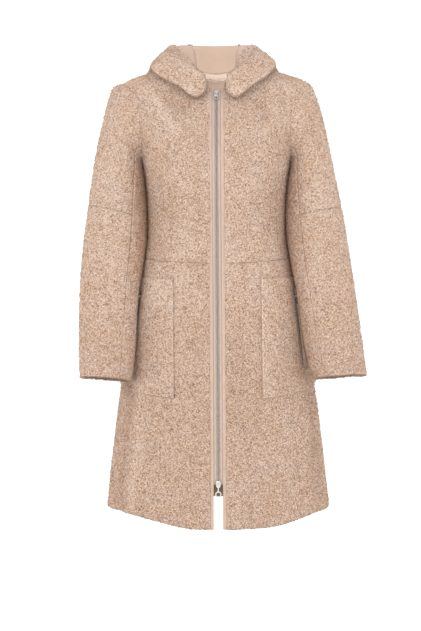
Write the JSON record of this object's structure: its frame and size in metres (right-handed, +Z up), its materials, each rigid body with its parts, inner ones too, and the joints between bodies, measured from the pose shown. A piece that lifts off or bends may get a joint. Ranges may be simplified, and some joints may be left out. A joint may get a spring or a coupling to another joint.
{
  "type": "teddy coat",
  "caption": "Knee-length hooded teddy coat of curly pile, worn hollow form, with a two-way front zip, zipped patch pockets and the hood laid back.",
  "frame": {"origin": "midway between the two points where the neckline crosses the shoulder seams, inside the neck, where the coat rests on its wearer", "axes": "+Z up along the standing wearer, +X to the wearer's left, -Y the wearer's front"},
  "size_m": [0.5744, 0.3231, 0.9858],
  "materials": {
    "teddy_pile": "short curly pile outside, suede inside",
    "suede": "soft napped suede",
    "zip_tape": "woven herringbone tape",
    "nickel": "polished nickel plate",
    "zip_teeth": "spiral zip teeth"
  },
  "bodies": {
    "coat": {"back_bodice": "teddy_pile", "back_skirt": "teddy_pile", "front_bodice_left": "teddy_pile", "front_bodice_right": "teddy_pile", "front_skirt_left": "teddy_pile", "front_skirt_right": "teddy_pile", "hanger_loop": "suede", "hood_binding_left": "suede", "hood_binding_right": "suede", "hood_gusset": "teddy_pile", "hood_left": "teddy_pile", "hood_right": "teddy_pile", "neck_tape": "suede", "pocket_chain_left": "zip_teeth", "pocket_chain_right": "zip_teeth", "pocket_left": "teddy_pile", "pocket_right": "teddy_pile", "pocket_slider_left": "nickel", "pocket_slider_right": "nickel", "pocket_tape_back_left": "zip_tape", "pocket_tape_back_right": "zip_tape", "pocket_tape_front_left": "zip_tape", "pocket_tape_front_right": "zip_tape", "pocket_welt_left": "suede", "pocket_welt_right": "suede", "sleeve_lower_left": "teddy_pile", "sleeve_lower_right": "teddy_pile", "sleeve_under_left": "teddy_pile", "sleeve_under_right": "teddy_pile", "sleeve_upper_left": "teddy_pile", "sleeve_upper_right": "teddy_pile", "zip_binding_left": "suede", "zip_binding_right": "suede", "zip_bottom_slider": "nickel", "zip_chain_left": "zip_teeth", "zip_chain_right": "zip_teeth", "zip_tape_left": "zip_tape", "zip_tape_right": "zip_tape", "zip_top_slider": "nickel"},
    "zip_top_pull_body": {"zip_top_pull": "nickel"},
    "zip_bottom_pull_body": {"zip_bottom_pull": "nickel"},
    "pocket_left_pull_body": {"pocket_pull_left": "nickel"},
    "pocket_right_pull_body": {"pocket_pull_right": "nickel"}
  },
  "joints": [
    {"name": "zip_top_pull_swing", "type": "hinge", "parent": "coat", "child": "zip_top_pull_body", "pos_m": [-0.00083, -0.0747, -0.06569], "axis": [-1, -0.0008, -0.0015], "range_deg": [0, 150]},
    {"name": "zip_bottom_pull_swing", "type": "hinge", "parent": "coat", "child": "zip_bottom_pull_body", "pos_m": [0.00349, -0.14829, -0.84135], "axis": [-1, -0.0002, -0.0025], "range_deg": [0, 150]},
    {"name": "pocket_left_pull_swing", "type": "hinge", "parent": "coat", "child": "pocket_left_pull_body", "pos_m": [0.161, -0.062, -0.4768], "axis": [-0.5551, -0.8317, 0.0133], "range_deg": [0, 20]},
    {"name": "pocket_right_pull_swing", "type": "hinge", "parent": "coat", "child": "pocket_right_pull_body", "pos_m": [-0.15812, -0.06201, -0.47682], "axis": [-0.5551, 0.8316, -0.0136], "range_deg": [0, 20]}
  ]
}
